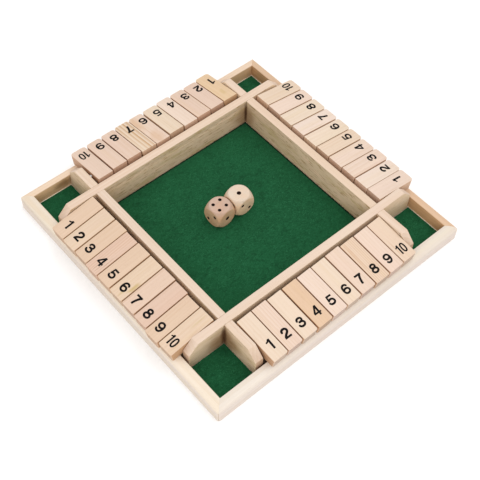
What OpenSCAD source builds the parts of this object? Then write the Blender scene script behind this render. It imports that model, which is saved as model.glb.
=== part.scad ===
// Four-sided flip-tile number game: a square wooden tray with a felt floor,
// four bays of ten numbered tiles that swing on steel rods, and two dice.
// Millimetres. +Z is up, the origin is on the table under the middle of the frame.
// The front bay faces -Y, the others follow it anticlockwise: right +X, back +Y, left -X.

/* [Frame] */
// Outer side of the square frame
side = 220; // [216:0.5:226]
// Width of a frame rail, seen from above
rail_w = 7.5; // [7:0.1:9]
// Height of a frame rail above the table
rail_h = 12.9; // [12.4:0.1:13.2]
// Radius of the rounded outer top edge of a rail
rail_round = 5.2; // [4:0.1:6]
// Radius of the frame's four outer upright corners
corner_round = 2.2; // [1:0.1:4]
// Radius of a rail's eased inner top edge and outer bottom edge
rail_ease = 0.5; // [0.2:0.1:1]

/* [Floor] */
// Thickness of the base board
base_t = 2.5; // [2:0.1:3]
// Depth of the rebate under each rail that takes the edge of the base board
rebate = 3.5; // [2:0.1:4.5]
// Thickness of the felt
felt_t = 0.8; // [0.5:0.1:1.2]
// How far the felt is cut short of the dividers
felt_gap = 0.3; // [0.2:0.1:1]
// How far the corner felts are cut short of the rails
felt_short = 0.9; // [0.3:0.1:1.5]

/* [Dividers] */
// Inner side of the square dice tray
tray = 131.3; // [130.5:0.1:132]
// Thickness of the upright divider boards
wall_t = 6.2; // [5.5:0.1:6.4]
// Height of the top of the divider boards above the table
wall_top = 25.5; // [25.2:0.1:26.2]
// Gap between the end of a divider and the rail
end_gap = 1.5; // [1:0.1:3]
// Length of the sloping cut at the end of a divider
cut_l = 7.9; // [6:0.1:10]
// Height of the sloping cut at the end of a divider
cut_h = 8.0; // [6:0.1:10]
// Radius that softens both corners of the sloping cut
cut_round = 1.3; // [0.5:0.1:3]
// How far the whole grid of dividers sits behind the middle of the frame
grid_back = 1.6; // [0:0.1:1.6]

/* [Rods] */
// Diameter of the steel rod that carries ten tiles
rod_d = 2.2; // [1.8:0.1:2.4]
// Distance of the rod from the divider behind the tiles
rod_out = 12.4; // [12.2:0.1:12.6]
// Height of the rod above the table
rod_z = 20.5; // [20.4:0.05:20.8]
// Depth of the blind hole that holds each end of a rod
rod_seat = 3.2; // [2:0.1:4]
// Radial clearance of a rod in its tiles and in its end holes
rod_clear = 0.05; // [0.03:0.01:0.09]

/* [Tiles] */
// Width of a tile, along the rod
tile_w = 12.2; // [11.4:0.1:12.2]
// Thickness of a tile
tile_t = 8.5; // [7.9:0.1:8.6]
// Length of a tile from the rod to its inner end
tile_in = 9.8; // [8.5:0.1:10]
// Length of a tile from the rod to its outer end, where the number is
tile_out = 25.9; // [25:0.1:26.1]
// Radius of a tile's corners at its outer end in the front and left bays, seen from above
tile_round = 1.2; // [0.3:0.1:2.5]
// Radius of a tile's corners at its outer end in the right and back bays, seen from above
tile_round_far = 2.2; // [0.3:0.1:3]
// Radius of a tile's corners at its inner end, seen from above
tile_round_in = 0.4; // [0.3:0.1:1.5]
// Gap left under a tile where it lies on the rail, and behind it where it leans on the divider
rest_gap = 0.05; // [0.03:0.01:0.2]

/* [Dice] */
// Side of a die
die = 16; // [15:0.5:16]
// Diameter of the ball that rounds off a die's corners
die_ball = 21.8; // [21:0.1:23]
// Diameter of a pip
pip_d = 2.7; // [2:0.1:3]
// Diameter of the single pip on the face of the one
ace_d = 3.4; // [2.5:0.1:3.8]
// Depth of a pip
pip_depth = 0.6; // [0.3:0.1:0.8]

/* [Hidden] */
$fn = 64;
BAYS = ["front", "right", "back", "left"];

function tile_name(b, n) = str("tile_", BAYS[b], "_", n);

pine = [0.90, 0.79, 0.66];
pine_dark = [0.82, 0.70, 0.55];
green = [0.10, 0.34, 0.19];
steel = [0.75, 0.75, 0.77];

floor_z = base_t;                     // top of the base board
felt_z = base_t + felt_t;             // top of the felt
in = side / 2 - rail_w;               // inner face of a rail, from the middle of the frame
a = tray / 2;                         // inner face of a divider, from the middle of the grid
b_out = a + wall_t;                   // outer face of a divider, from the middle of the grid

// Room behind each bay: from the divider's outer face to the rail's inner face
bay_w = [in + grid_back - b_out, in - b_out, in - grid_back - b_out, in - b_out];

// How the tiles sit along each rod: evenly spaced, with this gap at both ends of the row,
// and then each of them a little off that place; and how much wider than tile_w each one is cut
end_play = 0.9;
pitch = (tray - 2 * end_play - tile_w) / 9;
off_place = [[0.4, 0, -0.1, -0.1, 0, -0.2, 0, 0.2, 0.2, 0.3],
             [-0.1, -0.6, -0.8, -1.2, -0.8, -1.4, -0.8, -1, -0.6, -0.8],
             [-0.1, -0.1, -0.5, -0.5, -1, -0.2, -1, -1.2, -1.3, -1.1],
             [0, 0.2, 0.4, 0.1, -0.4, 0.1, 0.2, 0.3, 0.2, 0.1]];
wider = [[-0.3, -0.1, -0.3, 0, 0, 0, 0.2, -0.1, 0.3, -0.2],
         [0, -0.4, -0.1, 0.3, -0.4, 0.3, -0.2, 0.3, -0.1, 0.3],
         [0.1, -0.1, 0, -0.3, 0.3, -0.4, 0, -0.2, -0.2, 0],
         [0.2, 0.1, -0.1, -0.4, 0.3, 0.1, -0.1, -0.1, 0, 0.2]];
// Start of tile n along its rod, from the middle of the grid, and its own width
function tile_x(b, n) = -a + end_play + (n - 1) * pitch + off_place[b][n - 1];
function width(b, n) = tile_w + wider[b][n - 1];

// Slope of a tile at rest: its underside touches the rounded top of the rail
function rest_dx(b) = bay_w[b] + rail_w - rail_round - rod_out;
rest_dz = rail_h - rail_round - rod_z;
// How much longer than tile_out and tile_in each tile is cut at its two ends
longer_out = [[-0.1, -0.2, 0.1, 0.1, 0.1, 0, -0.1, 0.2, 0.1, -0.2],
              [0.2, 0.2, 0.5, -0.3, 0.1, -0.2, -0.3, -0.1, -0.2, -0.1],
              [0.5, -0.5, -0.1, 0.5, -0.1, -0.1, 0.1, -0.2, -0.3, 0],
              [0.3, 0.3, -0.2, 0.3, -0.2, -0.3, -0.5, -0.4, 0.9, -0.2]];
longer_in = [[-0.1, 0.2, -0.2, -0.1, -0.1, 0, 0.5, -0.2, -0.1, 0.2],
             [-0.5, -0.3, -0.4, 0.1, 0.1, 0.6, 0.2, 0.5, -0.1, -0.2],
             [-0.4, -0.3, -0.3, 0.3, -0.6, 0.9, 0.4, -0.7, -0.3, 1],
             [-0.4, -0.3, 0.1, -0.4, 0.1, 0.1, 0.6, 0.3, -0.5, 0.2]];
// How many degrees the tiles of a bay sit askew on their rod
askew = [1.5, 0, 0, 0.9];
// How far the stub divider beside tile 10 of the back bay stands off the line of the left divider
stub_off = 0.5;

function rest_a(b) = atan2(rest_dx(b), rest_dz)
    - acos(-(tile_t / 2 + rail_round + rest_gap) / norm([rest_dx(b), rest_dz]));

// ---- shared shapes ----------------------------------------------------

// Square with its corners rounded, centred
module soft_square(s, r) {
    square([s, s - 2 * r], center = true);
    square([s - 2 * r, s], center = true);
    for (x = [-1, 1], y = [-1, 1]) translate([x * (s / 2 - r), y * (s / 2 - r)]) circle(r);
}

// Section of a rail: x from its inner face outward, y up, outer top edge rounded, rebate under it
module rail_section() {
    e = rail_ease;
    difference() {
        union() {
            square([rail_w - rail_round, rail_h - e]);
            translate([e, 0]) square([rail_w - rail_round - e, rail_h]);
            translate([e, rail_h - e]) circle(e);
            square([rail_w - e, rail_h - rail_round]);
            translate([0, e]) square([rail_w, rail_h - rail_round - e]);
            translate([rail_w - e, e]) circle(e);
            translate([rail_w - rail_round, rail_h - rail_round]) intersection() {
                circle(rail_round);
                square(2 * rail_round);
            }
        }
        translate([-1, -1]) square([1 + rebate, 1 + base_t]);
    }
}

// Front rail: the section run along X, mitred at both ends, corners rounded
module rail() {
    intersection() {
        translate([-side / 2, -in, 0]) rotate([90, 0, 90]) mirror([1, 0, 0])
            linear_extrude(height = side) rail_section();
        linear_extrude(height = rail_h + 1)
            polygon([[-side / 2, -side / 2], [side / 2, -side / 2], [0, 0]]);
        linear_extrude(height = rail_h + 1) soft_square(side, corner_round);
    }
}

// Blind hole or rod along X, starting at x and running for len
module along_x(x, len, r) {
    translate([x, -(b_out + rod_out), rod_z]) rotate([0, 90, 0]) cylinder(h = len, r = r);
}

// Turns a front-bay shape into the place of bay k
module in_bay(k) {
    translate([0, grid_back, 0]) rotate([0, 0, 90 * k]) children();
}

// Rod holes of bay k, both ends, sunk into the dividers
module rod_holes(k) {
    in_bay(k) for (s = [-1, 1])
        along_x(s > 0 ? a - 0.01 : -a - rod_seat, rod_seat + 0.01, rod_d / 2 + rod_clear);
}

// End of a divider cut off at a slope, from x = 0 to the end at x = e, y up, both corners of the cut rounded
module cut_outline(e) {
    h = wall_top - floor_z;
    slope = atan2(cut_h, cut_l);
    t1 = cut_round * tan(slope / 2);                 // from the top corner to where its round begins
    t2 = cut_round * tan((90 - slope) / 2);          // the same at the lower corner
    polygon([[0, 0], [e, 0], [e, h - cut_h - t2],
             [e - t2 * cos(slope), h - cut_h + t2 * sin(slope)],
             [e - cut_l + t1 * cos(slope), h - t1 * sin(slope)],
             [e - cut_l - t1, h], [0, h]]);
    translate([e - cut_l - t1, h - cut_round]) circle(cut_round);
    translate([e - cut_round, h - cut_h - t2]) circle(cut_round);
}

// Outline of a long divider, x along it and y up: both ends cut off at a slope
module long_outline() {
    for (s = [0, 1]) mirror([s, 0]) cut_outline(in - end_gap);
}

// ---- fixed pieces -----------------------------------------------------

module base_board() {
    s = side - 2 * (rail_w - rebate) - 0.2;
    color(pine_dark) translate([-s / 2, -s / 2, 0]) cube([s, s, base_t]);
}

module rail_front() { color(pine) rail(); }
module rail_right() { color(pine) rotate([0, 0, 90]) rail(); }
module rail_back() { color(pine) rotate([0, 0, 180]) rail(); }
module rail_left() { color(pine) rotate([0, 0, 270]) rail(); }

// The two long dividers run right across; s is -1 for the front one, 1 for the back one
module long_divider(s) {
    color(pine) difference() {
        translate([0, grid_back + (s < 0 ? -a : b_out), floor_z])
            rotate([90, 0, 0]) linear_extrude(height = wall_t) long_outline();
        rod_holes(1);
        rod_holes(3);
    }
}
module divider_front() long_divider(-1);
module divider_back() long_divider(1);

// The two short dividers between them close the dice tray
module side_divider(s) {
    color(pine) translate([s < 0 ? -b_out : a, grid_back - a, floor_z])
        cube([wall_t, tray, wall_top - floor_z]);
}
module divider_left() side_divider(-1);
module divider_right() side_divider(1);

// Four stub dividers outside the long ones, at the ends of the front and back bays.
// sx, sy pick the corner; reach is the room between the long divider and the rail
module corner_divider(sx, sy) {
    reach = (sy < 0 ? bay_w[0] : bay_w[2]) - end_gap;
    translate([sx < 0 ? -b_out - (sy > 0 ? stub_off : 0) : a, grid_back + sy * b_out, floor_z])
        rotate([90, 0, 90]) linear_extrude(height = wall_t) mirror([sy < 0 ? 1 : 0, 0]) cut_outline(reach);
}
module corner_dividers() {
    color(pine) difference() {
        for (sx = [-1, 1], sy = [-1, 1]) corner_divider(sx, sy);
        rod_holes(0);
        rod_holes(2);
    }
}

module felt_tray() {
    s = tray - 2 * felt_gap;
    color(green) translate([-s / 2, grid_back - s / 2, floor_z]) cube([s, s, felt_t]);
}

// One felt in each corner pocket, between the dividers and the rails
module felts_corner() {
    color(green) for (sx = [-1, 1], sy = [-1, 1]) {
        x0 = b_out + felt_gap + (sx < 0 && sy > 0 ? stub_off : 0);
        y0 = b_out + felt_gap;
        lx = in - felt_short - x0;
        ly = in - felt_short - sy * grid_back - y0;
        translate([sx < 0 ? -x0 - lx : x0, grid_back + (sy < 0 ? -y0 - ly : y0), floor_z])
            cube([lx, ly, felt_t]);
    }
}

// A rod runs through all ten tiles of its bay and into a hole at each end
module rod(k) {
    color(steel) in_bay(k) along_x(-a - rod_seat + 0.1, tray + 2 * rod_seat - 0.2, rod_d / 2);
}
module rod_front() rod(0);
module rod_right() rod(1);
module rod_back() rod(2);
module rod_left() rod(3);

// ---- moving pieces ----------------------------------------------------

// Outline of a tile w wide seen from above: rod at y = 0, outer end at y = -o with corners of radius r, inner end at y = i
module tile_outline(w, o, i, r) {
    q = tile_round_in;
    translate([0, -o + r]) square([w, o + i - r - q]);
    translate([r, -o]) square([w - 2 * r, r + 1]);
    translate([q, i - q - 1]) square([w - 2 * q, q + 1]);
    for (x = [r, w - r]) translate([x, -o + r]) circle(r);
    for (x = [q, w - q]) translate([x, i - q]) circle(q);
}

// Tile n of bay k, lying with its outer end on the rail
module tile(k, n) {
    w = width(k, n);
    color(pine) in_bay(k) translate([tile_x(k, n), -(b_out + rod_out), rod_z])
        rotate([rest_a(k), 0, 0]) difference() {
            translate([w / 2, 0, -tile_t / 2]) rotate([0, 0, askew[k]]) translate([-w / 2, 0, 0])
                linear_extrude(height = tile_t)
                    tile_outline(w, tile_out + longer_out[k][n - 1], tile_in + longer_in[k][n - 1],
                                 k == 1 || k == 2 ? tile_round_far : tile_round);
            translate([-1, 0, 0]) rotate([0, 90, 0])
                cylinder(h = w + 2, r = rod_d / 2 + rod_clear);
        }
}

// A dimple of diameter d in the face at height die / 2
module pip(x, y, d) {
    r = (d * d / 4 + pip_depth * pip_depth) / (2 * pip_depth);
    translate([x, y, die / 2 + r - pip_depth]) sphere(r);
}
// Pips of one face, looking down on it
module pips(count) {
    p = 3.25;
    if (count == 1) pip(0, 0, ace_d);
    if (count == 3 || count == 5) pip(0, 0, pip_d);
    if (count > 1) { pip(-p, p, pip_d); pip(p, -p, pip_d); }
    if (count > 3) { pip(p, p, pip_d); pip(-p, -p, pip_d); }
    if (count == 6) { pip(-p, 0, pip_d); pip(p, 0, pip_d); }
}
// A die centred on the origin; top, front (-Y) and left (-X) name the faces seen
module die_body(top, front, left) {
    difference() {
        intersection() {
            cube(die, center = true);
            sphere(d = die_ball);
        }
        pips(top);
        rotate([180, 0, 0]) pips(7 - top);
        rotate([90, 0, 0]) pips(front);
        rotate([-90, 0, 0]) pips(7 - front);
        rotate([0, -90, 0]) pips(left);
        rotate([0, 90, 0]) pips(7 - left);
    }
}
module die_left() {
    color(pine_dark) translate([-9.6, 8.5, felt_z + die / 2]) rotate([0, 0, 4]) die_body(4, 1, 2);
}
module die_right() {
    color(pine) translate([7.6, 7.9, felt_z + die / 2]) rotate([0, 0, 1]) die_body(1, 2, 4);
}

// ---- the assembly -----------------------------------------------------

base_board();
rail_front();
rail_right();
rail_back();
rail_left();
divider_front();
divider_back();
divider_left();
divider_right();
corner_dividers();
felt_tray();
felts_corner();
rod_front();
rod_right();
rod_back();
rod_left();
die_left();
die_right();
for (k = [0:3]) for (n = [1:10])
    tile(k, n);
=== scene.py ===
import math
import random

import bmesh
import bpy
import numpy as np
from mathutils import Euler, Matrix, Vector, noise


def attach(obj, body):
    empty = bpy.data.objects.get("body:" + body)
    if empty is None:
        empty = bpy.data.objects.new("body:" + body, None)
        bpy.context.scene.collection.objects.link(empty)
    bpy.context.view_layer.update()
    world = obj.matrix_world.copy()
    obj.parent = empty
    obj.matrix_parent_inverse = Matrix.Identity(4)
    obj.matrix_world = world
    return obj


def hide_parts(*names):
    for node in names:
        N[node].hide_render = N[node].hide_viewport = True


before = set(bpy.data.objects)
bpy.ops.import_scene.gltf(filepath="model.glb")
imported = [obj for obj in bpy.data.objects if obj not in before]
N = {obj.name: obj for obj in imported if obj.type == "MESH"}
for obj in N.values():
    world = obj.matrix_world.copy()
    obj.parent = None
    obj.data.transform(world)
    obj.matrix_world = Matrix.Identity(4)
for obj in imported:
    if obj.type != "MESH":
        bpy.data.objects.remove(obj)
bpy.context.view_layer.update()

scene = bpy.context.scene
MM = 0.001

# ---------------------------------------------------------------- sizes, in millimetres, as in the CAD
SIDE, RAIL_W, RAIL_H, RAIL_ROUND = 220.0, 7.5, 12.9, 5.2
TRAY, WALL_T, WALL_TOP, GRID_BACK = 131.3, 6.2, 25.5, 1.6
ROD_OUT, ROD_Z = 12.4, 20.5
TILE_W, TILE_T, REST_GAP, END_PLAY = 12.2, 8.5, 0.05, 0.9
BASE_T, FELT_T = 2.5, 0.8
BAYS = ["front", "right", "back", "left"]
OFF_PLACE = [
    [0.4, 0.0, -0.1, -0.1, 0.0, -0.2, 0.0, 0.2, 0.2, 0.3],
    [-0.1, -0.6, -0.8, -1.2, -0.8, -1.4, -0.8, -1.0, -0.6, -0.8],
    [-0.1, -0.1, -0.5, -0.5, -1.0, -0.2, -1.0, -1.2, -1.3, -1.1],
    [0.0, 0.2, 0.4, 0.1, -0.4, 0.1, 0.2, 0.3, 0.2, 0.1],
]
WIDER = [
    [-0.3, -0.1, -0.3, 0.0, 0.0, 0.0, 0.2, -0.1, 0.3, -0.2],
    [0.0, -0.4, -0.1, 0.3, -0.4, 0.3, -0.2, 0.3, -0.1, 0.3],
    [0.1, -0.1, 0.0, -0.3, 0.3, -0.4, 0.0, -0.2, -0.2, 0.0],
    [0.2, 0.1, -0.1, -0.4, 0.3, 0.1, -0.1, -0.1, 0.0, 0.2],
]
ASKEW = [1.5, 0.0, 0.0, 0.9]
STUB_OFF = 0.5
INN = SIDE / 2 - RAIL_W
A = TRAY / 2
B_OUT = A + WALL_T
BAY_W = [INN + GRID_BACK - B_OUT, INN - B_OUT, INN - GRID_BACK - B_OUT, INN - B_OUT]


def tile_x(b, n):
    """Middle of tile n along its rod."""
    pitch = (TRAY - 2 * END_PLAY - TILE_W) / 9
    return -A + END_PLAY + (n - 1) * pitch + OFF_PLACE[b][n - 1] + (TILE_W + WIDER[b][n - 1]) / 2


def rest_a(b):
    dx = BAY_W[b] + RAIL_W - RAIL_ROUND - ROD_OUT
    dz = RAIL_H - RAIL_ROUND - ROD_Z
    return math.atan2(dx, dz) - math.acos(-(TILE_T / 2 + RAIL_ROUND + REST_GAP) / math.hypot(dx, dz))


def tile_place(b, n):
    """The tile's own frame: x across it from its middle, y along it (outer end towards -y), z from its mid-thickness; in metres."""
    return (
        Matrix.Translation((0, GRID_BACK * MM, 0))
        @ Matrix.Rotation(math.radians(90 * b), 4, "Z")
        @ Matrix.Translation((tile_x(b, n) * MM, -(B_OUT + ROD_OUT) * MM, ROD_Z * MM))
        @ Matrix.Rotation(rest_a(b), 4, "X")
        @ Matrix.Rotation(math.radians(ASKEW[b]), 4, "Z")
    )


# ---------------------------------------------------------------- node helpers
class Net:
    """Small helper that builds a node material."""

    def __init__(self, name):
        self.mat = bpy.data.materials.new(name)
        self.mat.use_nodes = True
        self.t = self.mat.node_tree
        self.bsdf = next(n for n in self.t.nodes if n.type == "BSDF_PRINCIPLED")

    def node(self, kind, **props):
        n = self.t.nodes.new(kind)
        for k, v in props.items():
            setattr(n, k, v)
        return n

    def link(self, a, b):
        self.t.links.new(a, b)

    def put(self, socket, value):
        if hasattr(value, "is_output"):
            self.link(value, socket)
        else:
            socket.default_value = value

    def math(self, op, a, b=None, clamp=False):
        n = self.node("ShaderNodeMath", operation=op, use_clamp=clamp)
        self.put(n.inputs[0], a)
        if b is not None:
            self.put(n.inputs[1], b)
        return n.outputs[0]

    def mix(self, fac, a, b, blend="MIX"):
        n = self.node("ShaderNodeMix", data_type="RGBA", blend_type=blend, clamp_factor=True)
        self.put(n.inputs[0], fac)
        for socket, v in ((n.inputs[6], a), (n.inputs[7], b)):
            self.put(socket, v if hasattr(v, "is_output") else (*v, 1.0))
        return n.outputs[2]

    def ramp(self, fac, lo, hi, a=0.0, b=1.0, smooth=True):
        n = self.node("ShaderNodeMapRange", interpolation_type="SMOOTHSTEP" if smooth else "LINEAR")
        self.put(n.inputs[0], fac)
        n.inputs[1].default_value = lo
        n.inputs[2].default_value = hi
        n.inputs[3].default_value = a
        n.inputs[4].default_value = b
        return n.outputs[0]

    def coords(self, turn=(0, 0, 0), shift=(0, 0, 0), scale=(1, 1, 1)):
        """Object coordinates, shifted, then turned, then scaled."""
        tc = self.node("ShaderNodeTexCoord")
        m = self.node("ShaderNodeMapping", vector_type="POINT")
        m.inputs["Location"].default_value = shift
        self.link(tc.outputs["Object"], m.inputs["Vector"])
        r = self.node("ShaderNodeMapping", vector_type="POINT")
        r.inputs["Rotation"].default_value = turn
        self.link(m.outputs[0], r.inputs["Vector"])
        return self.scaled(r.outputs[0], scale)

    def scaled(self, vec, scale):
        if tuple(scale) == (1, 1, 1):
            return vec
        s = self.node("ShaderNodeMapping", vector_type="POINT")
        s.inputs["Scale"].default_value = scale
        self.link(vec, s.inputs["Vector"])
        return s.outputs[0]

    def noise(self, vec, scale, detail=3.0, rough=0.55, distort=0.0):
        n = self.node("ShaderNodeTexNoise")
        self.link(vec, n.inputs["Vector"])
        n.inputs["Scale"].default_value = scale
        n.inputs["Detail"].default_value = detail
        n.inputs["Roughness"].default_value = rough
        n.inputs["Distortion"].default_value = distort
        return n.outputs["Fac"]

    def bump(self, height, strength, distance, normal=None):
        n = self.node("ShaderNodeBump")
        n.inputs["Strength"].default_value = strength
        n.inputs["Distance"].default_value = distance
        self.link(height, n.inputs["Height"])
        if normal is not None:
            self.link(normal, n.inputs["Normal"])
        return n.outputs["Normal"]


def shade(c, f):
    return tuple(min(1.0, v * f) for v in c)


def wood(name, tone, late=(0.84, 0.70, 0.54), ring=0.30, ring_mm=2.4, place=None, turn=(0, 0, 0), heart_at=None, lean=(0.0, 0.0),
         seed=0, fleck=0.35, spots=(), end_tone=(0.74, 0.66, 0.58), rough=0.55, mottle=0.5, stripe=0.45, side_tone=None,
         flank_tone=None, figure=0.0):
    """Solid sawn softwood in the piece's own frame `place`; `turn` then brings the grain to X.
    tone is the pale early wood; late multiplies it in the growth lines and ring is how strong they are;
    spots are (centre, half sizes, colour, amount) in millimetres in the piece's own frame: along X, Y, Z."""
    rnd = random.Random(seed)
    n = Net(name)
    place = place or Matrix.Identity(4)
    q = Euler(turn).to_matrix() @ place.to_3x3().transposed()
    shift0 = tuple(-v for v in place.translation)
    euler = tuple(q.to_euler("XYZ"))
    grain = n.coords(turn=euler, shift=shift0)
    shift = tuple(rnd.uniform(-2.0, 2.0) for _ in range(3))
    # growth lines: shells round a heart far beside the board
    ang = heart_at if heart_at is not None else rnd.choice((0.0, math.pi)) + rnd.uniform(-0.85, 0.85)
    far = rnd.uniform(0.045, 0.09)
    heart = n.node("ShaderNodeMapping", vector_type="POINT")
    heart.inputs["Location"].default_value = (rnd.uniform(-0.1, 0.1), far * math.cos(ang), far * math.sin(ang))
    heart.inputs["Rotation"].default_value = (0.0, lean[0] + rnd.uniform(-0.006, 0.006), lean[1] + rnd.uniform(-0.010, 0.010))
    n.link(grain, heart.inputs["Vector"])
    moved = n.node("ShaderNodeMapping", vector_type="POINT")
    moved.inputs["Location"].default_value = shift
    n.link(grain, moved.inputs["Vector"])
    p = moved.outputs[0]
    # a slow sway moves the growth lines a little off straight
    sway = n.node("ShaderNodeTexNoise")
    sway.inputs["Scale"].default_value = 1.0
    sway.inputs["Detail"].default_value = 2.0
    n.link(n.scaled(p, (9, 45, 45)), sway.inputs["Vector"])
    off = n.node("ShaderNodeVectorMath", operation="MULTIPLY_ADD")
    n.link(sway.outputs["Color"], off.inputs[0])
    off.inputs[1].default_value = (0.0, 0.0030, 0.0030)
    n.link(heart.outputs[0], off.inputs[2])
    rings = n.node("ShaderNodeTexWave", wave_type="RINGS", rings_direction="X", wave_profile="SAW")
    rings.inputs["Scale"].default_value = 0.31416 / (ring_mm * MM)
    rings.inputs["Distortion"].default_value = 0.0
    n.link(off.outputs[0], rings.inputs["Vector"])
    saw = rings.outputs["Fac"]
    late_line = n.math("MULTIPLY", n.ramp(saw, 0.15, 0.92), n.ramp(saw, 1.0, 0.94))
    # strength of the growth lines changes from line to line and slowly along the board
    patchy = n.ramp(n.noise(n.scaled(p, (11, 190, 190)), 1.0, 2.0), 0.30, 0.68, 0.25, 1.0)
    line = n.math("MULTIPLY", late_line, patchy)
    # fibres, stripes and pores, all long along the grain
    fibre = n.noise(n.scaled(p, (55, 2800, 2800)), 1.0, 4.0, 0.6)
    streak = n.noise(n.scaled(p, (9, 620, 620)), 1.0, 3.0, 0.6)
    band = n.noise(n.scaled(p, (5, 210, 210)), 1.0, 2.0, 0.5)
    pore = n.noise(n.scaled(p, (230, 3600, 3600)), 1.0, 1.0, 0.5)
    broad = n.noise(n.scaled(p, (16, 60, 60)), 1.0, 2.0, 0.5)
    # end grain: the faces that cut the fibres across
    tc = n.node("ShaderNodeTexCoord")
    turned = n.node("ShaderNodeMapping", vector_type="NORMAL")
    turned.inputs["Rotation"].default_value = euler
    n.link(tc.outputs["Normal"], turned.inputs["Vector"])
    sep = n.node("ShaderNodeSeparateXYZ")
    n.link(turned.outputs[0], sep.inputs[0])
    end = n.ramp(n.math("ABSOLUTE", sep.outputs["X"]), 0.60, 0.93)
    if side_tone is not None:
        up = n.node("ShaderNodeSeparateXYZ")
        n.link(tc.outputs["Normal"], up.inputs[0])
        side = n.ramp(n.math("ABSOLUTE", up.outputs["Z"]), 0.55, 0.15)

    pink = (tone[0] * 1.005, tone[1] * 0.955, tone[2] * 0.965)
    gold = (tone[0] * 0.985, tone[1] * 0.955, tone[2] * 0.84)
    col = n.mix(n.math("MULTIPLY", n.ramp(broad, 0.32, 0.70), mottle), tone, pink)
    col = n.mix(n.math("MULTIPLY", n.ramp(band, 0.50, 0.72), stripe), col, gold)
    col = n.mix(n.math("MULTIPLY", n.ramp(band, 0.46, 0.26), stripe), col, shade(tone, 1.05))
    col = n.mix(n.math("MULTIPLY", line, ring), col, tuple(tone[i] * late[i] for i in range(3)))
    col = n.mix(n.math("MULTIPLY", n.ramp(streak, 0.52, 0.76), 0.42), col, (tone[0] * 0.90, tone[1] * 0.84, tone[2] * 0.77))
    col = n.mix(n.math("MULTIPLY", n.ramp(streak, 0.46, 0.24), 0.30), col, shade(tone, 1.06))
    col = n.mix(n.math("MULTIPLY", n.ramp(fibre, 0.44, 0.80), 0.34), col, (tone[0] * 0.86, tone[1] * 0.80, tone[2] * 0.74))
    col = n.mix(n.math("MULTIPLY", n.ramp(pore, 0.66, 0.78), fleck), col, (tone[0] * 0.66, tone[1] * 0.53, tone[2] * 0.42))
    cut = n.mix(n.math("MULTIPLY", line, 0.60), tuple(tone[i] * end_tone[i] for i in range(3)),
                tuple(tone[i] * end_tone[i] * (0.86, 0.78, 0.70)[i] for i in range(3)))
    cut = n.mix(n.math("MULTIPLY", n.ramp(n.noise(p, 2600.0, 2.0), 0.52, 0.72), 0.30), cut, tuple(tone[i] * end_tone[i] * 0.72 for i in range(3)))
    if figure:
        # broad olive and brown clouds and dark flecks, as on a plain-sawn face
        cloud = n.noise(n.scaled(p, (42, 230, 230)), 1.0, 4.0, 0.66)
        dash = n.noise(n.scaled(p, (125, 1050, 1050)), 1.0, 3.0, 0.6)
        amount = n.math("MULTIPLY", side, figure) if side_tone is not None else figure
        col = n.mix(n.math("MULTIPLY", n.ramp(cloud, 0.50, 0.68), amount), col, (tone[0] * 0.84, tone[1] * 0.82, tone[2] * 0.66))
        col = n.mix(n.math("MULTIPLY", n.ramp(cloud, 0.46, 0.30), amount), col, (tone[0] * 1.08, tone[1] * 1.02, tone[2] * 1.02))
        col = n.mix(n.math("MULTIPLY", n.ramp(dash, 0.55, 0.65), n.math("MULTIPLY", amount, 0.9) if side_tone is not None else 0.9 * figure),
                    col, (tone[0] * 0.58, tone[1] * 0.47, tone[2] * 0.32))
    col = n.mix(end, col, cut)
    # painted light and shade: upright faces, end grain aside, are multiplied by side_tone
    if side_tone is not None:
        col = n.mix(n.math("MULTIPLY", side, n.math("SUBTRACT", 1.0, end)), col, side_tone, "MULTIPLY")
    # partly painted shade: the flanks are multiplied by flank_tone, which darkens the gaps between the tiles
    if flank_tone is not None:
        col = n.mix(n.ramp(n.math("ABSOLUTE", sep.outputs["Y"]), 0.60, 0.93), col, flank_tone, "MULTIPLY")
    for k, (where, size, colour, amount) in enumerate(spots):
        g = n.node("ShaderNodeMapping", vector_type="TEXTURE")
        at = place @ (Vector(where) * MM)
        g.inputs["Location"].default_value = tuple(at)
        g.inputs["Rotation"].default_value = tuple(place.to_euler("XYZ"))
        g.inputs["Scale"].default_value = tuple(v * MM for v in size)
        tc2 = n.node("ShaderNodeTexCoord")
        n.link(tc2.outputs["Object"], g.inputs["Vector"])
        wob = n.node("ShaderNodeTexNoise")
        wob.inputs["Scale"].default_value = 1.1
        wob.inputs["Detail"].default_value = 3.0
        wv = n.node("ShaderNodeVectorMath", operation="ADD")
        wv.inputs[1].default_value = (3.7 * k + seed % 7, 1.3, 2.9)
        n.link(g.outputs[0], wv.inputs[0])
        n.link(wv.outputs[0], wob.inputs["Vector"])
        add = n.node("ShaderNodeVectorMath", operation="MULTIPLY_ADD")
        n.link(wob.outputs["Color"], add.inputs[0])
        add.inputs[1].default_value = (1.0, 1.0, 1.0)
        n.link(g.outputs[0], add.inputs[2])
        add2 = n.node("ShaderNodeVectorMath", operation="ADD")
        add2.inputs[1].default_value = (-0.5, -0.5, -0.5)
        n.link(add.outputs[0], add2.inputs[0])
        ln = n.node("ShaderNodeVectorMath", operation="LENGTH")
        n.link(add2.outputs[0], ln.inputs[0])
        spot = n.math("MULTIPLY", n.ramp(ln.outputs["Value"], 1.0, 0.2), n.ramp(fibre, 0.25, 0.60, 0.65, 1.0))
        col = n.mix(n.math("MULTIPLY", spot, amount), col, colour)
    n.link(col, n.bsdf.inputs["Base Color"])
    rg = n.math("ADD", n.ramp(fibre, 0.3, 0.75, rough - 0.05, rough + 0.10), n.math("MULTIPLY", end, 0.15), clamp=True)
    n.link(rg, n.bsdf.inputs["Roughness"])
    n.bsdf.inputs["Specular IOR Level"].default_value = 0.32
    relief = n.math("SUBTRACT", n.math("MULTIPLY", fibre, 0.5), n.math("ADD", n.math("MULTIPLY", line, 0.35 * ring),
                    n.math("MULTIPLY", n.ramp(pore, 0.64, 0.78), 0.5)))
    n.link(n.bump(relief, 0.32, 0.00012), n.bsdf.inputs["Normal"])
    return n.mat


def paint(obj, mat):
    obj.data.materials.clear()
    obj.data.materials.append(mat)


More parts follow.
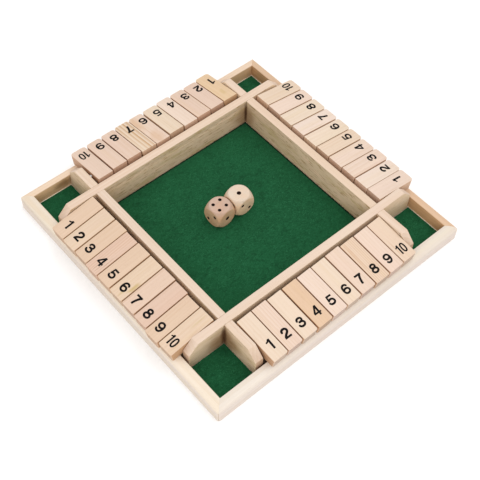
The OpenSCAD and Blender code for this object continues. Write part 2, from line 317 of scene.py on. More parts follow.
def ease(obj, width, segments=3, angle=30, flat=True):
    """Rounds the sharp edges of a CAD node with modifiers only; flat joins the triangles of a plane face first."""
    w = obj.modifiers.new("weld", "WELD")
    w.merge_threshold = 1e-6
    if flat:
        d = obj.modifiers.new("flat", "DECIMATE")
        d.decimate_type = "DISSOLVE"
        d.angle_limit = math.radians(0.3)
    b = obj.modifiers.new("ease", "BEVEL")
    b.width = width * MM
    b.segments = segments
    b.limit_method = "ANGLE"
    b.angle_limit = math.radians(angle)
    b.use_clamp_overlap = False
    b.harden_normals = True
    b.miter_outer = "MITER_ARC"
    for poly in obj.data.polygons:
        poly.use_smooth = True


X_GRAIN = (0, 0, 0)
Y_GRAIN = (0, 0, -math.pi / 2)
Z_GRAIN = (0, math.pi / 2, 0)

# ---------------------------------------------------------------- frame, dividers, base
RAILS = {
    "front": ((0.745, 0.665, 0.580), X_GRAIN, 11, 3.2, 0.24),
    "back": ((0.760, 0.594, 0.445), X_GRAIN, 12, 2.8, 0.30),
    "left": ((0.790, 0.685, 0.560), Y_GRAIN, 13, 3.0, 0.24),
    "right": ((0.655, 0.460, 0.310), Y_GRAIN, 14, 2.6, 0.34),
}
# each rail's upright faces are tinted off the tone of its top: painted light and shade for how light falls on each side
RAIL_SIDE_LIGHT = {"back": (1.0, 0.88, 0.70), "right": (1.0, 0.87, 0.68), "left": (0.86, 0.87, 0.93), "front": (0.93, 0.91, 0.93)}
# painted shade: a wide brown darkening where walls and rails meet in the inner corners, and a narrow near-black line at
# the join itself, partly a dark joint and partly painted shade
CORNER_SHADE, SEAM_AND_SHADE = (0.33, 0.185, 0.085), (0.11, 0.045, 0.016)
# painted shade on the back rail's inner face in the back left pocket
RAIL_SPOTS = {"back": [((-79.0, INN, 8.0), (9.0, 1.5, 6.0), CORNER_SHADE, 0.85)]}
for b, (tone, turn, seed, spacing, ring) in RAILS.items():
    paint(N["rail_" + b], wood(f"rail_{b}_pine", tone, turn=turn, seed=seed, ring=ring, ring_mm=spacing, heart_at=0.8 + 0.3 * (seed % 3),
                                side_tone=RAIL_SIDE_LIGHT.get(b), spots=RAIL_SPOTS.get(b, ())))
    ease(N["rail_" + b], 0.10, 2)
# painted reflected light: the walls' upright faces get a khaki tint standing in for light bounced off the felt
WALL_UPRIGHT_BOUNCE = (1.02, 1.01, 0.90)
WALLS = {
    "divider_front": ((0.715, 0.570, 0.455), X_GRAIN, 21, 0.26, 0.35),
    "divider_back": ((0.705, 0.550, 0.430), X_GRAIN, 22, 0.36, 0.55),
    "divider_left": ((0.705, 0.560, 0.450), Y_GRAIN, 23, 0.26, 0.35),
    "divider_right": ((0.705, 0.550, 0.425), Y_GRAIN, 24, 0.36, 0.55),
    "corner_dividers": ((0.710, 0.560, 0.440), Y_GRAIN, 25, 0.32, 0.45),
}
FIGURE = {"divider_front": 0.50, "divider_back": 1.0, "divider_left": 0.50, "divider_right": 1.0, "corner_dividers": 0.7}
P, Q = (-B_OUT, -B_OUT + GRID_BACK), (A, GRID_BACK + A)
# painted shade in the front pocket's inner corner (P) and in the tray's back right corner (Q)
WALL_SPOTS = {
    "divider_front": [((*P, 9.5), (21.0, 2.4, 17.0), CORNER_SHADE, 0.90), ((*P, 11.0), (4.0, 2.2, 16.5), SEAM_AND_SHADE, 1.0)],
    "corner_dividers": [((*P, 9.5), (2.4, 19.0, 17.0), CORNER_SHADE, 0.90), ((*P, 11.0), (2.2, 4.0, 16.5), SEAM_AND_SHADE, 1.0)],
    "divider_back": [((*Q, 10.5), (16.0, 2.2, 16.5), CORNER_SHADE, 0.80), ((*Q, 12.0), (2.6, 2.2, 16.5), SEAM_AND_SHADE, 1.0)],
    "divider_right": [((*Q, 10.5), (2.2, 15.0, 16.5), CORNER_SHADE, 0.70), ((*Q, 12.0), (2.2, 2.4, 16.5), SEAM_AND_SHADE, 1.0)],
}
for name, (tone, turn, seed, ring, fleck) in WALLS.items():
    paint(N[name], wood(name + "_pine", tone, turn=turn, seed=seed, ring=ring, fleck=fleck, heart_at=0.7 + 0.35 * (seed % 3),
                        ring_mm=2.2, side_tone=WALL_UPRIGHT_BOUNCE, figure=FIGURE[name], spots=WALL_SPOTS.get(name, ()),
                        end_tone=(0.68, 0.58, 0.49)))
    ease(N[name], 0.30, 3)
# painted light: paler patches at the four pocket corners brighten the strip of board seen between the pocket felts and
# the rails
paint(N["base_board"], wood("base_board_pine", (0.64, 0.49, 0.35), turn=X_GRAIN, seed=31, ring=0.5, ring_mm=5.0,
                               spots=[((92.0 * i, 92.0 * j, BASE_T), (32.0, 32.0, 8.0), (0.92, 0.87, 0.73), 1.0) for i in (-1, 1) for j in (-1, 1)]))
ease(N["base_board"], 0.15, 2)

# ---------------------------------------------------------------- rods
steel = Net("bright_wire")
vec = steel.coords(scale=(1, 1, 1))
fine = steel.noise(steel.scaled(vec, (900, 900, 900)), 1.0, 3.0)
scr = steel.noise(vec, 5200.0, 2.0)
steel.link(steel.mix(steel.ramp(fine, 0.35, 0.7), (0.74, 0.74, 0.75), (0.60, 0.595, 0.59)), steel.bsdf.inputs["Base Color"])
steel.link(steel.ramp(scr, 0.3, 0.7, 0.26, 0.42), steel.bsdf.inputs["Roughness"])
steel.bsdf.inputs["Metallic"].default_value = 1.0
steel.link(steel.bump(scr, 0.15, 0.00003), steel.bsdf.inputs["Normal"])
for b in BAYS:
    paint(N["rod_" + b], steel.mat)
    ease(N["rod_" + b], 0.15, 2)

# ---------------------------------------------------------------- tiles
# a small palette of wood tones, and which tile has which
CREAM = (0.730, 0.590, 0.460)
PALE = (0.745, 0.600, 0.500)
BLUSH = (0.725, 0.565, 0.460)
ROSE = (0.700, 0.530, 0.430)
SAND = (0.705, 0.545, 0.415)
HONEY = (0.685, 0.490, 0.335)
STRAW = (0.690, 0.535, 0.365)
LOOKS = {
    "front": [CREAM, BLUSH, CREAM, HONEY, PALE, CREAM, BLUSH, SAND, BLUSH, SAND],
    "right": [BLUSH, PALE, BLUSH, BLUSH, SAND, CREAM, PALE, CREAM, BLUSH, SAND],
    "back": [(0.700, 0.515, 0.335), ROSE, ROSE, PALE, CREAM, BLUSH, CREAM, ROSE, ROSE, ROSE],
    "left": [SAND, CREAM, SAND, ROSE, SAND, CREAM, BLUSH, ROSE, SAND, CREAM],
}
# per-bay tint of the tiles: partly wood tone, partly painted light and shade for how light falls on each bay's sloping
# tops
BAY_TONE_AND_LIGHT = [(1.0, 1.0, 1.0), (1.0, 1.02, 1.03), (0.995, 1.0, 0.985), (0.945, 0.90, 0.86)]
# growth-line strength and spacing where they stand out
STRONG = {("back", 7): (1.0, 2.9), ("back", 1): (0.5, 3.2), ("front", 8): (0.62, 1.5), ("left", 4): (0.55, 1.6), ("right", 3): (0.40, 2.4),
          ("front", 2): (0.36, 1.7), ("right", 5): (0.38, 2.0)}
LATE = {("back", 7): (0.70, 0.48, 0.27), ("front", 8): (0.80, 0.64, 0.48)}
BROWN, OCHRE, RUST = (0.30, 0.17, 0.09), (0.50, 0.36, 0.13), (0.55, 0.31, 0.16)
SPOTS = {
    ("left", 6): [((4.6, -13.0, 4.1), (2.0, 7.0, 3.0), OCHRE, 0.85), ((1.6, -20.5, 4.1), (1.7, 5.0, 3.0), OCHRE, 0.45)],
    ("left", 4): [((0.6, -20.0, 4.1), (0.35, 7.5, 1.2), BROWN, 0.75), ((2.6, -21.0, 4.1), (0.3, 6.0, 1.2), BROWN, 0.6),
                  ((4.3, -16.0, 4.1), (0.35, 9.0, 1.2), BROWN, 0.45)],
    ("left", 10): [((0.5, 2.0, 4.1), (1.0, 10.0, 2.0), OCHRE, 0.35), ((3.2, -19.0, 4.1), (1.2, 8.0, 2.0), RUST, 0.35)],
    ("back", 1): [((-0.5, 0.0, 4.1), (3.0, 5.0, 3.0), OCHRE, 0.40)],
    ("back", 6): [((4.4, -16.0, 4.1), (5.0, 16.0, 6.0), (0.63, 0.39, 0.22), 0.70), ((1.0, 4.0, 4.1), (7.0, 11.0, 6.0), (0.62, 0.40, 0.25), 0.60),
                  ((2.2, -6.0, 4.1), (0.35, 12.0, 1.2), (0.45, 0.25, 0.13), 0.45)],
    ("back", 5): [((0.9, 0.0, 4.1), (0.25, 12.0, 1.2), BROWN, 0.35)],
    ("front", 8): [((-3.6, -2.0, 4.1), (1.8, 16.0, 2.0), RUST, 0.32)],
    ("front", 10): [((-3.4, -14.0, 4.1), (0.7, 12.0, 2.0), RUST, 0.40)],
    ("right", 7): [((-4.8, -4.0, 4.1), (0.9, 14.0, 2.0), OCHRE, 0.30)],
}
# the tiles' flanks and cut ends are browner than their tops: partly sawn and end grain, partly painted shade in the
# gaps between the tiles and on their ends
FLANK_GRAIN_AND_SHADE = [(0.66, 0.50, 0.38), (0.84, 0.72, 0.60), (0.76, 0.62, 0.50), (0.74, 0.60, 0.46)]
END_GRAIN_AND_SHADE = [(0.65, 0.61, 0.605), (0.73, 0.60, 0.515), (0.73, 0.59, 0.50), (0.735, 0.665, 0.61)]
for b, bay in enumerate(BAYS):
    for n in range(1, 11):
        node = N[f"tile_{bay}_{n}"]
        ring, spacing = STRONG.get((bay, n), (0.16 + 0.10 * ((n * 7 + b * 3) % 4) / 3, 1.9 + 0.4 * ((n * 5 + b) % 4)))
        tone = tuple(LOOKS[bay][n - 1][i] * BAY_TONE_AND_LIGHT[b][i] for i in range(3))
        paint(node, wood(f"tile_{bay}_{n}_pine", tone, ring=ring, ring_mm=spacing, place=tile_place(b, n), turn=Y_GRAIN,
                         lean=(0.0, 0.015 * ((n + 2 * b) % 5 - 2)), seed=100 + 17 * b + n * 131, spots=SPOTS.get((bay, n), ()),
                         flank_tone=FLANK_GRAIN_AND_SHADE[b], end_tone=shade(END_GRAIN_AND_SHADE[b], 0.92 + 0.05 * ((n * 3 + b) % 4)),
                         late=LATE.get((bay, n), (0.84, 0.70, 0.54))))
        ease(node, 0.20, 3)


# ---------------------------------------------------------------- numbers
def bez(*pts, steps=14):
    """Points along joined cubic curves: start, then (handle, handle, end) for each."""
    out = [Vector(pts[0])]
    for i in range(1, len(pts), 3):
        a, b, c, d = Vector(pts[i - 1]), Vector(pts[i]), Vector(pts[i + 1]), Vector(pts[i + 2])
        for s in range(1, steps + 1):
            t = s / steps
            out.append(a * (1 - t) ** 3 + 3 * b * t * (1 - t) ** 2 + 3 * c * t * t * (1 - t) + d * t ** 3)
    return [tuple(v) for v in out]


def ring_path(cx, cy, rx, ry, power=2.0, steps=56):
    out = []
    for i in range(steps + 1):
        t = 2 * math.pi * i / steps
        c, s = math.cos(t), math.sin(t)
        out.append((cx + rx * math.copysign(abs(c) ** (2 / power), c), cy + ry * math.copysign(abs(s) ** (2 / power), s)))
    return out


# Each digit is a few pen strokes in a box 74 wide and 100 high: (points, pen width)
SIX = [(bez((62, 76), (59, 86), (50, 91), (39, 91), (21, 91), (10, 75), (10, 47), (10, 22), (20, 9), (37, 9),
            (54, 9), (66, 19), (66, 32.5), (66, 46), (54, 56), (38.5, 56), (26, 56), (15, 48), (11, 37)), 20.0)]
DIGITS = {
    "1": [([(46, -1), (46, 100)], 20.5), (bez((12, 75), (26, 76), (36, 83), (40, 96)), 14.5)],
    "2": [(bez((11, 65), (11, 82), (21, 90), (37, 90), (53, 90), (63, 81), (63, 69), (63, 57), (54, 50), (41, 41),
               (26, 31), (16, 24), (13, 9)), 22.0), ([(2, 9), (72, 9)], 19.0)],
    "3": [(bez((12, 69), (13, 83), (23, 90.5), (36, 90.5), (51, 90.5), (61, 83), (61, 73), (61, 62), (51, 54.5), (38, 54.5), (35, 54.5), (33, 54.5), (27, 54.5)), 20.0),
          (bez((27, 53.5), (33, 53.5), (36, 53.5), (39, 53.5), (54, 53.5), (65, 45), (65, 32), (65, 18), (53, 9.5), (36, 9.5), (20, 9.5), (10, 17), (9, 30)), 20.5)],
    "4": [([(53, -1), (53, 101)], 19.5), ([(1, 28), (74, 28)], 17.0), ([(49, 95), (8, 31)], 17.5)],
    "5": [([(17, 91.5), (67, 91.5)], 18.5), ([(21, 98), (15, 47)], 17.0),
          (bez((13.5, 47), (21, 55.5), (29, 58), (38, 58), (54, 58), (65, 48), (65, 34), (65, 19), (53, 10), (36, 10), (21, 10), (11, 17), (9, 29)), 20.0)],
    "6": SIX,
    "7": [([(3, 91), (72, 91)], 19.0), (bez((64, 94), (46, 73), (32, 44), (28, -1)), 22.0)],
    "8": [(ring_path(37, 73.5, 22.5, 18.0), 20.0), (ring_path(37, 30.5, 28.0, 22.0), 20.5)],
    "9": [([(74 - x, 100 - y) for x, y in SIX[0][0]], 19.5)],
}
# The ten is drawn with a finer, narrower pen
TEN = [([(26, -1), (26, 100)], 16.5), (bez((2, 77), (12, 78), (19, 84), (22, 96)), 12.0), (ring_path(72, 50, 18.5, 42.5, 2.3), 16.0)]


def strokes_field(strokes, gx, gy):
    """Signed distance to the union of the strokes; their ends are cut square."""
    best = np.full(gx.shape, 1e9)
    for pts, pen in strokes:
        closed = math.dist(pts[0], pts[-1]) < 1e-6
        last = len(pts) - 2
        for i in range(len(pts) - 1):
            ax, ay = pts[i]
            bx, by = pts[i + 1]
            ux, uy = bx - ax, by - ay
            ln = math.hypot(ux, uy)
            if ln < 1e-9:
                continue
            ux, uy = ux / ln, uy / ln
            s = (gx - ax) * ux + (gy - ay) * uy
            side = np.abs(-(gx - ax) * uy + (gy - ay) * ux)
            over = np.maximum(np.maximum(-s, s - ln), 0.0)
            d = np.hypot(side, over) - pen / 2
            if not closed:
                if i == 0:
                    d = np.where(s < 0, np.maximum(side - pen / 2, -s), d)
                if i == last:
                    d = np.where(s > ln, np.maximum(side - pen / 2, s - ln), d)
            best = np.minimum(best, d)
    return best


def outline(strokes, wide):
    """Closed outlines of the strokes' union, by marching squares on a fine grid."""
    step = 1.0
    xs = np.arange(-8.1373, wide + 8 + step, step)
    ys = np.arange(-8.2191, 108 + step, step)
    gx, gy = np.meshgrid(xs, ys)
    f = strokes_field(strokes, gx, gy)
    segs = {}

    def cut(i0, j0, i1, j1):
        a, b = f[j0, i0], f[j1, i1]
        t = a / (a - b)
        return (round(float(xs[i0] + t * (xs[i1] - xs[i0])), 4), round(float(ys[j0] + t * (ys[j1] - ys[j0])), 4))

    for j in range(len(ys) - 1):
        for i in range(len(xs) - 1):
            inside = [f[j, i] < 0, f[j, i + 1] < 0, f[j + 1, i + 1] < 0, f[j + 1, i] < 0]
            if all(inside) or not any(inside):
                continue
            c = [(i, j), (i + 1, j), (i + 1, j + 1), (i, j + 1)]
            hits = []
            for k in range(4):
                p, q = k, (k + 1) % 4
                if inside[p] != inside[q]:
                    hits.append((inside[p], cut(*c[p], *c[q])))
            # keep the inside on the left: go from an out-to-in crossing to an in-to-out one
            starts = [h[1] for h in hits if h[0]]
            ends = [h[1] for h in hits if not h[0]]
            if len(hits) == 2:
                segs[starts[0]] = ends[0]
            else:
                order = [h for h in hits]
                for k in range(4):
                    if order[k][0]:
                        segs[order[k][1]] = order[(k + 1) % 4][1]
    loops = []
    while segs:
        start, nxt = next(iter(segs.items()))
        loop = [start]
        del segs[start]
        while nxt != start:
            loop.append(nxt)
            nxt = segs.pop(nxt)
        loops.append(loop)
    return [thin_out(loop) for loop in loops if len(loop) > 6]


def thin_out(loop, tol=0.12):
    """Drops points that lie on a nearly straight run."""
    def rdp(pts):
        if len(pts) < 3:
            return pts
        a, b = np.array(pts[0]), np.array(pts[-1])
        ab = b - a
        ln = np.hypot(*ab)
        arr = np.array(pts)
        if ln < 1e-9:
            d = np.hypot(*(arr - a).T)
        else:
            d = np.abs(ab[0] * (arr[:, 1] - a[1]) - ab[1] * (arr[:, 0] - a[0])) / ln
        k = int(np.argmax(d))
        if d[k] < tol:
            return [pts[0], pts[-1]]
        return rdp(pts[: k + 1])[:-1] + rdp(pts[k:])

    half = len(loop) // 2
    return rdp(loop[: half + 1])[:-1] + rdp(loop[half:] + [loop[0]])[:-1]


def number_mesh(name, strokes, wide, height, thick=0.03):
    """A thin closed print in the shape of the strokes, centred on the origin, its top at z = thick; in metres."""
    cu = bpy.data.curves.new(name, "CURVE")
    cu.dimensions = "2D"
    cu.fill_mode = "BOTH"
    cu.extrude = thick / 2 * MM
    k = height / 100
    for loop in outline(strokes, wide):
        sp = cu.splines.new("POLY")
        sp.points.add(len(loop) - 1)
        for pt, (x, y) in zip(sp.points, loop):
            pt.co = ((x - wide / 2) * k * MM, (y - 50) * k * MM, 0, 1)
        sp.use_cyclic_u = True
    ob = bpy.data.objects.new(name, cu)
    scene.collection.objects.link(ob)
    bpy.context.view_layer.update()
    me = bpy.data.meshes.new_from_object(ob)
    bpy.data.objects.remove(ob)
    bpy.data.curves.remove(cu)
    bm = bmesh.new()
    bm.from_mesh(me)
    bmesh.ops.remove_doubles(bm, verts=bm.verts, dist=1e-7)
    bmesh.ops.recalc_face_normals(bm, faces=bm.faces)
    bm.to_mesh(me)
    bm.free()
    me.name = name
    return me


ink = Net("black_print")
v = ink.coords()
worn = ink.noise(v, 2600.0, 4.0, 0.65)
film = ink.noise(v, 420.0, 2.0)
ink.link(ink.mix(ink.ramp(worn, 0.62, 0.80), (0.0060, 0.0050, 0.0045), (0.020, 0.016, 0.013)), ink.bsdf.inputs["Base Color"])
ink.link(ink.ramp(film, 0.3, 0.7, 0.60, 0.78), ink.bsdf.inputs["Roughness"])
ink.bsdf.inputs["Specular IOR Level"].default_value = 0.10
ink.link(ink.bump(worn, 0.2, 0.00003), ink.bsdf.inputs["Normal"])

NUM_H = 7.5
# Where each number's middle is: across its tile from the tile's middle, and along it from the rod
NUMBER_AT = [
    [(0.16, -15.05), (0.42, -15.29), (0.38, -15.53), (0.49, -15.76), (0.30, -16.00),
     (0.81, -16.24), (0.42, -16.46), (0.38, -16.71), (-0.06, -16.93), (-0.05, -17.17)],
    [(0.42, -16.09), (1.08, -16.23), (1.19, -16.36), (0.95, -16.50), (0.96, -16.64),
     (1.17, -16.77), (0.58, -16.91), (0.89, -17.05), (0.75, -17.18), (1.01, -17.32)],
    [(-2.52, -16.29), (-2.38, -16.41), (-2.20, -16.54), (-2.12, -16.67), (-1.74, -16.79),
     (-2.02, -16.92), (-1.39, -17.05), (-0.96, -17.17), (-1.03, -17.30), (-0.65, -17.42)],
    [(-0.05, -15.96), (-0.23, -16.20), (-0.77, -16.43), (0.05, -16.67), (0.12, -16.91),
     (-0.17, -17.14), (-0.40, -17.37), (-0.48, -17.61), (-0.62, -17.84), (-0.85, -18.08)],
]
NUMBER_TURN = [-2.5, -2.0, -0.1, -0.6]
prints = {}
for n in range(1, 11):
    strokes, wide = (TEN, 96.0) if n == 10 else (DIGITS[str(n)], 74.0)
    if n == 1:
        wide = 66.0
    me = number_mesh(f"number_{n}", strokes, wide, NUM_H)
    me.materials.append(ink.mat)
    prints[n] = me
for b, bay in enumerate(BAYS):
    for n in range(1, 11):
        ob = bpy.data.objects.new(f"number_{bay}_{n}", prints[n].copy())
        scene.collection.objects.link(ob)
        x, y = NUMBER_AT[b][n - 1]
        place = (tile_place(b, n) @ Matrix.Translation((x * MM, y * MM, (TILE_T / 2 + 0.008) * MM))
                 @ Matrix.Rotation(math.radians(NUMBER_TURN[b]), 4, "Z"))
        ob.data.transform(place)
        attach(ob, f"tile_{bay}_{n}")


# ---------------------------------------------------------------- felt
felt = Net("green_felt")
v = felt.coords()
nap = felt.noise(v, 1500.0, 5.0, 0.7, 0.6)
clump = felt.noise(felt.scaled(v, (1, 1.6, 1)), 720.0, 2.0, 0.55, 1.5)
tuft = felt.noise(felt.scaled(v, (1, 1.35, 1)), 330.0, 4.0, 0.62, 1.2)
cloud = felt.noise(v, 34.0, 3.0, 0.6)
hair = felt.noise(felt.scaled(felt.coords(turn=(0, 0, 0.6)), (300, 2600, 300)), 1.0, 3.0, 0.6, 0.8)
hair2 = felt.noise(felt.scaled(felt.coords(turn=(0, 0, -0.9)), (300, 2600, 300)), 1.0, 3.0, 0.6, 0.8)
G = (0.0078, 0.082, 0.0295)
c = felt.mix(felt.ramp(cloud, 0.30, 0.72), G, (0.0065, 0.069, 0.0245))
c = felt.mix(felt.math("MULTIPLY", felt.ramp(tuft, 0.50, 0.78), 0.55), c, (0.015, 0.112, 0.044))
c = felt.mix(felt.math("MULTIPLY", felt.ramp(tuft, 0.46, 0.25), 0.45), c, (0.0045, 0.052, 0.018))
c = felt.mix(felt.math("MULTIPLY", felt.ramp(clump, 0.52, 0.68), 0.72), c, (0.021, 0.136, 0.057))
c = felt.mix(felt.math("MULTIPLY", felt.ramp(clump, 0.45, 0.30), 0.66), c, (0.0034, 0.042, 0.014))
c = felt.mix(felt.math("MULTIPLY", felt.ramp(nap, 0.55, 0.80), 0.40), c, (0.021, 0.130, 0.055))
c = felt.mix(felt.math("MULTIPLY", felt.ramp(felt.math("MAXIMUM", hair, hair2), 0.66, 0.80), 0.35), c, (0.028, 0.148, 0.066))
lump = felt.noise(felt.scaled(v, (1, 1.5, 1)), 165.0, 4.0, 0.62, 1.2)
c = felt.mix(felt.math("MULTIPLY", felt.ramp(lump, 0.53, 0.68), 0.55), c, (0.0125, 0.100, 0.039))
c = felt.mix(felt.math("MULTIPLY", felt.ramp(lump, 0.46, 0.31), 0.62), c, (0.0040, 0.047, 0.0165))
# painted shade: the tray felt darkens to near black along its last millimetre or so, where it meets the walls' feet
place = felt.node("ShaderNodeSeparateXYZ")
felt.link(v, place.inputs[0])
ax = felt.math("ABSOLUTE", place.outputs["X"])
ay = felt.math("ABSOLUTE", felt.math("SUBTRACT", place.outputs["Y"], GRID_BACK * MM))
rim = felt.math("ADD", felt.math("MAXIMUM", ax, ay), felt.math("MULTIPLY", felt.math("SUBTRACT", tuft, 0.5), 0.0008))
inside = felt.math("LESS_THAN", felt.math("MAXIMUM", ax, ay), (A + 1.0) * MM)
c = felt.mix(felt.math("MULTIPLY", felt.ramp(rim, (A - 2.1) * MM, (A - 1.1) * MM), felt.math("MULTIPLY", inside, 0.92)), c, (0.0020, 0.011, 0.0045))
felt.link(c, felt.bsdf.inputs["Base Color"])
felt.bsdf.inputs["Roughness"].default_value = 0.95
felt.bsdf.inputs["Specular IOR Level"].default_value = 0.12
felt.bsdf.inputs["Sheen Weight"].default_value = 0.05
felt.bsdf.inputs["Sheen Roughness"].default_value = 0.6
felt.bsdf.inputs["Sheen Tint"].default_value = (0.35, 0.75, 0.50, 1.0)
h = felt.math("ADD", felt.math("MULTIPLY", nap, 0.5), felt.math("ADD", felt.math("MULTIPLY", tuft, 0.4), felt.math("MULTIPLY", hair, 0.3)))
felt.link(felt.bump(h, 0.7, 0.0004), felt.bsdf.inputs["Normal"])


def felt_sheet(name, boxes, step, seed):
    """Cut felt, laid flat: a closed sheet with a softly uneven top and a slightly frayed, rounded edge."""
    bm = bmesh.new()
    for x0, y0, x1, y1 in boxes:
        nx, ny = max(4, round((x1 - x0) / step)), max(4, round((y1 - y0) / step))
        # closer lines near the edge, so that the edge can be rounded
        def lines(lo, hi, count):
            inner = [lo + 0.55 + (hi - lo - 1.1) * i / count for i in range(count + 1)]
            return [lo, lo + 0.10, lo + 0.28] + inner + [hi - 0.28, hi - 0.10, hi]
        xs, ys = lines(x0, x1, nx), lines(y0, y1, ny)
        def wander(x, y):
            return noise.noise(Vector((x * 0.9 + seed, y * 0.9, 3.1))) * 0.10 + noise.noise(Vector((x * 3.1, y * 3.1 + seed, 7.7))) * 0.05
        grid = {}
        for level in (0, 1):
            for i, x in enumerate(xs):
                for j, y in enumerate(ys):
                    rim = min(x - x0, x1 - x, y - y0, y1 - y)
                    dx = dy = 0.0
                    w = wander(x, y)
                    if rim < 0.5:
                        f = 1 - rim / 0.5
                        if x - x0 < 0.5:
                            dx = (0.11 + w) * f
                        if x1 - x < 0.5:
                            dx = -(0.11 + w) * f
                        if y - y0 < 0.5:
                            dy = (0.11 + w) * f
                        if y1 - y < 0.5:
                            dy = -(0.11 + w) * f
                    if level:
                        z = FELT_T - 0.05 + 0.045 * noise.noise(Vector((x * 0.45 + seed, y * 0.45, 0))) \
                            + 0.02 * noise.noise(Vector((x * 1.7, y * 1.7 + seed, 5)))
                        r = 0.28
                        if rim < r:
                            z -= r - math.sqrt(max(0.0, r * r - (r - rim) ** 2))
                    else:
                        z = 0.0
                    grid[level, i, j] = bm.verts.new(((x + dx) * MM, (y + dy) * MM, (BASE_T + z) * MM))
        I, J = len(xs) - 1, len(ys) - 1
        for i in range(I):
            for j in range(J):
                bm.faces.new([grid[1, i, j], grid[1, i + 1, j], grid[1, i + 1, j + 1], grid[1, i, j + 1]])
                bm.faces.new([grid[0, i, j + 1], grid[0, i + 1, j + 1], grid[0, i + 1, j], grid[0, i, j]])
        for i in range(I):
            bm.faces.new([grid[0, i, 0], grid[0, i + 1, 0], grid[1, i + 1, 0], grid[1, i, 0]])
            bm.faces.new([grid[0, i + 1, J], grid[0, i, J], grid[1, i, J], grid[1, i + 1, J]])
        for j in range(J):
            bm.faces.new([grid[0, 0, j + 1], grid[0, 0, j], grid[1, 0, j], grid[1, 0, j + 1]])
            bm.faces.new([grid[0, I, j], grid[0, I, j + 1], grid[1, I, j + 1], grid[1, I, j]])
    me = bpy.data.meshes.new(name)
    bm.to_mesh(me)
    bm.free()
    for p in me.polygons:
        p.use_smooth = True
    me.materials.append(felt.mat)
    ob = bpy.data.objects.new(name, me)
    scene.collection.objects.link(ob)
    return ob


FELT_GAP, FELT_SHORT = 0.3, 0.9
s = A - FELT_GAP
tray_felt = felt_sheet("tray_felt", [(-s, GRID_BACK - s, s, GRID_BACK + s)], 1.3, 4.0)
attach(tray_felt, "board")
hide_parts("felt_tray")

for sx, nx in ((-1, "left"), (1, "right")):
    for sy, ny in ((-1, "front"), (1, "back")):
        x0, x1 = B_OUT + FELT_GAP + (STUB_OFF if nx == "left" and ny == "back" else 0.0), INN - FELT_SHORT
        y0, y1 = B_OUT + FELT_GAP + sy * GRID_BACK, INN - FELT_SHORT
        bx = sorted((sx * x0, sx * x1))
        by = sorted((sy * y0, sy * y1))
        ob = felt_sheet(f"pocket_felt_{ny}_{nx}", [(bx[0], by[0], bx[1], by[1])], 1.2, 11.0 + 5 * sx + 3 * sy)
        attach(ob, "board")
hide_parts("felts_corner")


# ---------------------------------------------------------------- dice
def die_material(name, tone, centre, yaw, seed, side_tone):
    """Fine-grained turned wood with burnt pips: a point is in a pip where it lies inside both the cube and the ball."""
    n = Net(name)
    tc = n.node("ShaderNodeTexCoord")
    m = n.node("ShaderNodeMapping", vector_type="POINT")
    m.inputs["Location"].default_value = tuple(-c * MM for c in centre)
    n.link(tc.outputs["Object"], m.inputs["Vector"])
    r = n.node("ShaderNodeMapping", vector_type="POINT")
    r.inputs["Rotation"].default_value = (0, 0, -yaw)
    n.link(m.outputs[0], r.inputs["Vector"])
    q = n.node("ShaderNodeVectorMath", operation="ABSOLUTE")
    n.link(r.outputs[0], q.inputs[0])
    sep = n.node("ShaderNodeSeparateXYZ")
    n.link(q.outputs[0], sep.inputs[0])
    deep = n.math("MAXIMUM", sep.outputs[0], n.math("MAXIMUM", sep.outputs[1], sep.outputs[2]))
    ln = n.node("ShaderNodeVectorMath", operation="LENGTH")
    n.link(r.outputs[0], ln.inputs[0])
    pip = n.math("MULTIPLY", n.ramp(deep, 0.00796, 0.00788), n.ramp(ln.outputs["Value"], 0.01083, 0.01072))
    rnd = random.Random(seed)
    mv = n.node("ShaderNodeMapping", vector_type="POINT")
    mv.inputs["Location"].default_value = tuple(rnd.uniform(-1, 1) for _ in range(3))
    n.link(r.outputs[0], mv.inputs["Vector"])
    p = mv.outputs[0]
    fibre = n.noise(n.scaled(p, (180, 2400, 2400)), 1.0, 4.0, 0.6)
    streak = n.noise(n.scaled(p, (60, 600, 600)), 1.0, 3.0)
    broad = n.noise(p, 120.0, 2.0)
    pore = n.noise(n.scaled(p, (500, 4200, 4200)), 1.0, 1.0)
    col = n.mix(n.ramp(broad, 0.3, 0.7), tone, (tone[0] * 1.02, tone[1] * 0.93, tone[2] * 0.86))
    col = n.mix(n.math("MULTIPLY", n.ramp(streak, 0.48, 0.75), 0.5), col, shade(tone, 0.84))
    col = n.mix(n.math("MULTIPLY", n.ramp(fibre, 0.45, 0.8), 0.35), col, shade(tone, 0.78))
    col = n.mix(n.math("MULTIPLY", n.ramp(pore, 0.64, 0.76), 0.4), col, shade(tone, 0.55))
    up = n.node("ShaderNodeSeparateXYZ")
    n.link(tc.outputs["Normal"], up.inputs[0])
    # painted light: upright faces are multiplied by side_tone, lighter and warmer than the tops
    col = n.mix(n.ramp(n.math("ABSOLUTE", up.outputs["Z"]), 0.75, 0.35), col, side_tone, "MULTIPLY")
    near = n.math("MULTIPLY", n.ramp(deep, 0.00802, 0.00790), n.ramp(ln.outputs["Value"], 0.0110, 0.0107))
    col = n.mix(pip, n.mix(n.math("MULTIPLY", near, 0.25), col, (0.20, 0.09, 0.04)),
                n.mix(n.ramp(fibre, 0.4, 0.8), (0.0050, 0.0016, 0.0012), (0.014, 0.0045, 0.0028)))
    n.link(col, n.bsdf.inputs["Base Color"])
    n.link(n.math("ADD", n.ramp(fibre, 0.3, 0.75, 0.46, 0.60), n.math("MULTIPLY", pip, 0.40), clamp=True), n.bsdf.inputs["Roughness"])
    n.bsdf.inputs["Specular IOR Level"].default_value = 0.18
    n.link(n.bump(fibre, 0.25, 0.0001), n.bsdf.inputs["Normal"])
    return n.mat


DIE_Z = BASE_T + FELT_T + 8.0
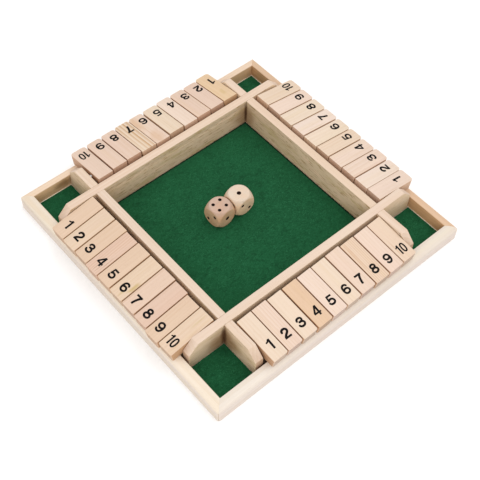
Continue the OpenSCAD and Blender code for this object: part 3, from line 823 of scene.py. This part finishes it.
# the last argument is painted light on each die's upright faces
paint(N["die_left"], die_material("die_left_wood", (0.545, 0.385, 0.300), (-9.6, 8.5, DIE_Z), math.radians(4), 5, (1.10, 1.03, 0.82)))
paint(N["die_right"], die_material("die_right_wood", (0.685, 0.570, 0.460), (7.6, 7.9, DIE_Z), math.radians(1), 6, (1.10, 0.98, 0.84)))
for d in ("die_left", "die_right"):
    ease(N[d], 0.12, 2, 25, flat=False)

# ---------------------------------------------------------------- floor, light, camera
me = bpy.data.meshes.new("floor")
bm = bmesh.new()
bmesh.ops.create_grid(bm, x_segments=8, y_segments=8, size=3.0)
bm.to_mesh(me)
bm.free()
floor = bpy.data.objects.new("floor", me)
scene.collection.objects.link(floor)
fl = Net("pale_floor")
grainy = fl.noise(fl.coords(), 900.0, 3.0)
fl.link(fl.mix(grainy, (0.93, 0.93, 0.93), (0.945, 0.945, 0.945)), fl.bsdf.inputs["Base Color"])
fl.bsdf.inputs["Roughness"].default_value = 0.9
# painted light: the floor glows faintly, which lifts the soft shadows on it
fl.bsdf.inputs["Emission Color"].default_value = (1.0, 1.0, 1.0, 1.0)
fl.bsdf.inputs["Emission Strength"].default_value = 0.05
fl.bsdf.inputs["Specular IOR Level"].default_value = 0.1
me.materials.append(fl.mat)

world = bpy.data.worlds.new("studio")
world.use_nodes = True
bg = next(n for n in world.node_tree.nodes if n.type == "BACKGROUND")
bg.inputs["Color"].default_value = (1.0, 1.0, 1.0, 1.0)
bg.inputs["Strength"].default_value = 0.80
scene.world = world


def softbox(name, at, aim, size, power, colour=(1, 1, 1)):
    l = bpy.data.lights.new(name, "AREA")
    l.shape = "SQUARE"
    l.size = size
    l.energy = power
    l.color = colour
    o = bpy.data.objects.new(name, l)
    o.location = at
    o.rotation_euler = (Vector(aim) - Vector(at)).to_track_quat("-Z", "Y").to_euler()
    scene.collection.objects.link(o)


softbox("overhead", (0.50, 0.0, 1.42), (0, 0, 0), 1.4, 8.5)
softbox("front_fill", (-1.05, -0.95, 0.95), (0, 0, 0), 1.4, 9.5)

# Camera solved from the photograph
U = 0.22 / 300
rx, ry, rz = -0.6167, 0.0194, 0.7105
R = (
    Matrix(((1, 0, 0), (0, math.cos(rx), -math.sin(rx)), (0, math.sin(rx), math.cos(rx))))
    @ Matrix(((math.cos(ry), 0, math.sin(ry)), (0, 1, 0), (-math.sin(ry), 0, math.cos(ry))))
    @ Matrix(((math.cos(rz), -math.sin(rz), 0), (math.sin(rz), math.cos(rz), 0), (0, 0, 1)))
)
T = Vector((-2.2803, 20.4896, -921.1237))
at = -(R.transposed() @ T) * U
cam_data = bpy.data.cameras.new("camera")
cam_data.sensor_fit = "HORIZONTAL"
cam_data.sensor_width = 36.0
cam_data.lens = 948.043 / 480 * 36.0
cam_data.clip_start = 0.01
cam_data.clip_end = 20
camera = bpy.data.objects.new("camera", cam_data)
camera.matrix_world = Matrix.Translation((at.x, at.y, at.z + 0.0033)) @ R.transposed().to_4x4()
scene.collection.objects.link(camera)
scene.camera = camera

scene.view_settings.view_transform = "Standard"
